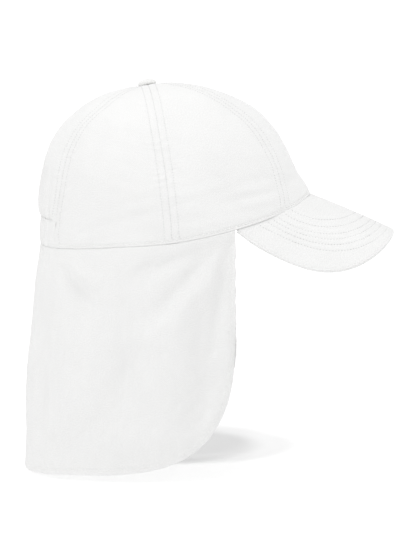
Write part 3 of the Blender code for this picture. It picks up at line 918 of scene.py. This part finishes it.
flap = add_cloth("hanging_flap", flap_outer, flap_lay, CLOTH, flap_cotton, "flap_cloth", "neck_flap")

# Stitching
# White sewing thread, machine stitched: a row in each seam of the crown and one on each side of it, one
# row along the rim, six on the peak and one inside the flap's hem. The rows in the crown's seams and on
# the peak are coloured grey. This is painted shade for thread pulled down into the cloth.
STITCHES = {
    # length of a stitch, way from one to the next, thickness of the thread
    "seam_topstitching": (0.0009, 0.0021, 0.00036),
    "rim_stitching": (0.0018, 0.0028, 0.00080),
    "peak_stitching": (0.0014, 0.0024, 0.00040),
    "hem_stitching": (0.0016, 0.0026, 0.0005),
}
STITCH_RINGS = 5
THREAD_SIDES = 6
ROWS_START = 0.0031
BACK_ROWS_START = BACK_BAND_WIDTH + 0.004
HEM_SIDE_COLUMNS = 60
HEM_TUCKED_ROWS = 8
thread_white = cotton("sewing_thread", (0.88, 0.88, 0.87), 0.0003, 0.7, 0.1, 0.00004)
# Grey thread colour: painted shade of thread sunk into the cloth; the real thread is white.
thread_grey_painted_shade = cotton("sunk_sewing_thread", (0.62, 0.62, 0.62), 0.0003, 0.8, 0.0, 0.00004)


def stitch_rings(line, outward, stitch, pitch, thread):
    """Rings of points round each stitch of a row, which dips into the cloth at both of its ends."""
    run = np.concatenate([[0.0], np.cumsum(np.linalg.norm(np.diff(line, axis=0), axis=1))])
    middles = np.arange(0.5 * pitch, run[-1] - 0.5 * stitch, pitch)
    spread = np.linspace(-0.5, 0.5, STITCH_RINGS) * stitch
    at = middles[:, None] + spread[None, :]
    centre = np.stack([np.interp(at, run, line[:, axis]) for axis in range(3)], axis=-1)
    out = unit(np.stack([np.interp(at, run, outward[:, axis]) for axis in range(3)], axis=-1))
    aside = unit(np.cross(out, unit(np.gradient(centre, axis=1))))
    share = 2.0 * spread / stitch
    rise = (thread * (0.42 - 0.62 * share**2))[:, None]
    size = (0.5 * thread * np.sqrt(1.0 - 0.75 * share**4))[:, None]
    angle = np.linspace(0.0, 2.0 * math.pi, THREAD_SIDES, endpoint=False)
    up = (rise + size * np.sin(angle) * 0.8)[None, :, :, None]
    across = (size * np.cos(angle))[None, :, :, None]
    return centre[:, :, None, :] + out[:, :, None, :] * up + aside[:, :, None, :] * across


def stitch_faces(amount, start):
    """Faces of some stitches with closed ends, whose points are counted on from a start."""
    first = start + np.arange(amount)[:, None, None] * (STITCH_RINGS * THREAD_SIDES)
    ring = (np.arange(STITCH_RINGS - 1) * THREAD_SIDES)[None, :, None]
    side = np.arange(THREAD_SIDES)[None, None, :]
    low, beside = first + ring + side, first + ring + (side + 1) % THREAD_SIDES
    quads = np.stack([low, beside, beside + THREAD_SIDES, low + THREAD_SIDES], axis=-1)
    faces = quads.reshape(-1, 4).tolist()
    last = (STITCH_RINGS - 1) * THREAD_SIDES
    for base in first.ravel().tolist():
        faces.append([base + number for number in reversed(range(THREAD_SIDES))])
        faces.append([base + last + number for number in range(THREAD_SIDES)])
    return faces


def sew(name, rows, thread_cotton):
    """Stitches along rows; a row is a line of points and the cloth's outward directions there."""
    points, faces, start = [], [], 0
    for line, outward in rows:
        rings = stitch_rings(line, outward, *STITCHES[name])
        faces += stitch_faces(len(rings), start)
        points.append(rings.reshape(-1, 3))
        start += len(points[-1])
    tidy_mesh(add_mesh(name, np.concatenate(points), faces, None, thread_cotton))


def seam_row(seam, hand, aside):
    """A row in or beside one seam, on the finished face of the cloth."""
    foot = ROWS_START if seam < 2 or aside < 0.0 else BACK_ROWS_START
    low = latitude_above_rim(np.array(float(hand * seam_turn(seam, 0.0))), foot)
    latitude = np.linspace(float(low), math.radians(83.0), 500)
    turn = seam_turn(seam, latitude)
    turn = hand * (turn + aside / length_per_turn(turn, latitude))
    relief = gore_lift(turn, latitude)
    if seam == 2 and aside > 0.0:
        relief = back_lift(turn % (2.0 * math.pi), latitude)
    return worn(crown_face(turn, latitude, relief)), worn(skin_normal(turn, latitude))


def peak_stitch_row(line):
    """A row on the peak, sunk in its groove."""
    ways = np.linalg.norm(peak_base.reshape(-1, 3)[None, :, :] - line[:, None, :], axis=-1)
    out = peak_normal.reshape(-1, 3)[np.argmin(ways, axis=1)]
    return worn(line - out * PEAK_ROW_SINK), worn(out)


def point_in_hem(ways, points, normals):
    """Where a line of points in from the flap's edge crosses the row of stitches, if it does."""
    past = int(np.argmax(ways > HEM_ROW))
    if past == 0 or ways[past] <= HEM_ROW:
        return None
    share = (HEM_ROW - ways[past - 1]) / (ways[past] - ways[past - 1])
    return points[past - 1] * (1.0 - share) + points[past] * share, normals[past]


def hem_rows():
    """The row inside the flap's hem, in three parts: along the bottom and up both front edges."""
    normals = grid_normals(flap_outer)
    rows, columns = flap_turn.shape
    free = rows - HEM_TUCKED_ROWS
    low = []
    for column in range(columns):
        low.append(point_in_hem(from_hem[:free, column], flap_outer[:, column], normals[:, column]))
    low = [found for found in low if found]
    foot = min(low[0][0][2], low[-1][0][2]) + 0.002
    parts = [low]
    for inward in (np.arange(HEM_SIDE_COLUMNS), columns - 1 - np.arange(HEM_SIDE_COLUMNS)):
        edge = []
        for row in range(free, 0, -1):
            edge.append(point_in_hem(from_hem[row, inward], flap_outer[row, inward], normals[row, inward]))
        parts.append([found for found in edge if found and found[0][2] > foot])
    return [tuple(np.array(column) for column in zip(*part)) for part in parts]


seam_rows = []
for seam in range(3):
    for hand in (1.0, -1.0):
        seam_rows += [seam_row(seam, hand, aside) for aside in (ALLOWANCE, 0.0, -ALLOWANCE)]
# The crown's seam rows take the grey thread, which is painted shade.
sew("seam_topstitching", seam_rows, thread_grey_painted_shade)
rim_turn = np.linspace(-sweat_end, sweat_end, 1200)
rim_latitude = latitude_above_rim(rim_turn, RIM_ROW_HEIGHT)
rim_line = worn(crown_face(rim_turn, rim_latitude, gore_lift(rim_turn, rim_latitude)))
sew("rim_stitching", [(rim_line, worn(skin_normal(rim_turn, rim_latitude)))], thread_white)
# The peak's rows take the grey thread, which is painted shade.
sew("peak_stitching", [peak_stitch_row(line) for line in peak_lines], thread_grey_painted_shade)
sew("hem_stitching", hem_rows(), thread_white)

# Floor and light
# A pale paper sweep that rises gently behind the cap, and an even white surround. Four soft lamps light
# the cap alone. Three small ones to the front light the paper alone, and draw on it the shadow of the
# crown, its darker core, and the thin shadow under the flap.
FLOOR_HEIGHT = -0.1938
RAMP_START = 0.10
RAMP_SLOPE = 0.08
BRIGHT_START = 0.42
RAMP_END = 3.40
WALL_HEIGHT = 1.6
PAPER = (0.45, 0.45, 0.45)
PAPER_GLOW = 0.38
BRIGHT_PAPER = (0.1, 0.1, 0.1)
BRIGHT_GLOW = 1.0
SURROUND = 0.78
LAMPS_AIM = Vector((0.02, 0.0, -0.02))
CAP_LAMPS = (
    # name, place, width, power
    ("lamp_key", (0.10, -0.85, 1.40), 0.6, 4.8),
    ("lamp_over", (0.30, -0.05, 1.50), 0.6, 4.1),
    ("lamp_front", (1.30, -0.60, 0.90), 0.8, 1.6),
    ("lamp_rear", (-1.20, -0.65, 0.45), 0.8, 3.4),
)
PAPER_LAMPS = (
    # name, place, width, power, starts of the names of the pieces that throw its shadow
    ("paper_lamp_right", (0.14, -2.25, 3.00), 0.30, 68.0, ("gore_front", "gore_side")),
    ("paper_lamp_left", (0.65, -2.20, 3.00), 0.30, 72.0, ("gore_front", "gore_side_front")),
    ("paper_lamp_low", (-0.25, -2.60, 3.00), 0.50, 24.0, ("hanging_flap",)),
)


def studio_paper(name, colour, glow):
    material = bpy.data.materials.new(name)
    material.use_nodes = True
    shader = material.node_tree.nodes["Principled BSDF"]
    shader.inputs["Base Color"].default_value = (*colour, 1.0)
    shader.inputs["Emission Color"].default_value = (1.0, 1.0, 1.0, 1.0)
    shader.inputs["Emission Strength"].default_value = glow
    shader.inputs["Roughness"].default_value = 0.95
    shader.inputs["Specular IOR Level"].default_value = 0.1
    return material


def add_sweep():
    """A floor that is level under the cap, rises behind it and ends far off in an upright wall."""
    half, ease = 4.0, 0.05
    profile = [(-4.0, 0.0), (RAMP_START - ease, 0.0)]
    for share in np.linspace(0.1, 1.0, 10):
        profile.append((RAMP_START - ease + 2.0 * ease * share, RAMP_SLOPE * ease * share**2))
    profile.append((BRIGHT_START, RAMP_SLOPE * (BRIGHT_START - RAMP_START)))
    profile.append((RAMP_END, RAMP_SLOPE * (RAMP_END - RAMP_START)))
    profile.append((RAMP_END, WALL_HEIGHT))
    points = [(side, float(y), FLOOR_HEIGHT + float(z)) for y, z in profile for side in (-half, half)]
    lefts = range(0, 2 * len(profile) - 2, 2)
    faces = [(left, left + 1, left + 3, left + 2) for left in lefts]
    mesh = bpy.data.meshes.new("studio_floor")
    mesh.from_pydata(points, [], faces)
    mesh.materials.append(studio_paper("pale_paper", PAPER, PAPER_GLOW))
    mesh.materials.append(studio_paper("bright_paper", BRIGHT_PAPER, BRIGHT_GLOW))
    for face in mesh.polygons[-2:]:
        face.material_index = 1
    floor = bpy.data.objects.new("studio_floor", mesh)
    bpy.context.scene.collection.objects.link(floor)
    return floor


def gather(name, pieces):
    """A group of pieces that a lamp lights or casts shadows of; it holds nothing else."""
    group = bpy.data.collections.new(name)
    for piece in pieces:
        group.objects.link(piece)
    return group


def add_lamp(name, place, width, power, lit, shadows=None):
    """A soft round lamp aimed at the cap, which lights one group of pieces alone."""
    lamp = bpy.data.lights.new(name, "AREA")
    lamp.shape = "DISK"
    lamp.size = width
    lamp.energy = power
    holder = bpy.data.objects.new(name, lamp)
    holder.location = place
    holder.rotation_euler = (LAMPS_AIM - Vector(place)).to_track_quat("-Z", "Y").to_euler()
    holder.light_linking.receiver_collection = lit
    if shadows:
        holder.light_linking.blocker_collection = shadows
    bpy.context.scene.collection.objects.link(holder)


floor = add_sweep()
meshes = [found for found in bpy.context.scene.objects if found.type == "MESH"]
cap_pieces = [found for found in meshes if found is not floor]
cap_only = gather("cap_only", cap_pieces)
paper_only = gather("paper_only", [floor])
for name, place, width, power in CAP_LAMPS:
    add_lamp(name, place, width, power, cap_only)
for name, place, width, power, throwers in PAPER_LAMPS:
    shadows = gather(name + "_shadow", [piece for piece in cap_pieces if piece.name.startswith(throwers)])
    add_lamp(name, place, width, power, paper_only, shadows)
world = bpy.data.worlds.new("white_surround")
world.use_nodes = True
world.node_tree.nodes["Background"].inputs["Color"].default_value = (1.0, 1.0, 1.0, 1.0)
world.node_tree.nodes["Background"].inputs["Strength"].default_value = SURROUND
bpy.context.scene.world = world
bpy.context.scene.view_settings.view_transform = "Standard"

# Camera
# Square to the cap's right side, two degrees above level, as far off as the photograph suggests.
VIEW_MIDDLE = Vector((0.0268, 0.0, -0.0398))
VIEW_DISTANCE = 1.9
VIEW_WIDTH = 0.3213
VIEW_ELEVATION = math.radians(2.0)
lens = bpy.data.cameras.new("side_view")
lens.sensor_fit = "HORIZONTAL"
lens.lens = lens.sensor_width * VIEW_DISTANCE / VIEW_WIDTH
lens.clip_end = 30.0
viewer = bpy.data.objects.new("side_view", lens)
back_off = Vector((0.0, -math.cos(VIEW_ELEVATION), math.sin(VIEW_ELEVATION)))
viewer.location = VIEW_MIDDLE + back_off * VIEW_DISTANCE
viewer.rotation_euler = (-back_off).to_track_quat("-Z", "Y").to_euler()
bpy.context.scene.collection.objects.link(viewer)
bpy.context.scene.camera = viewer
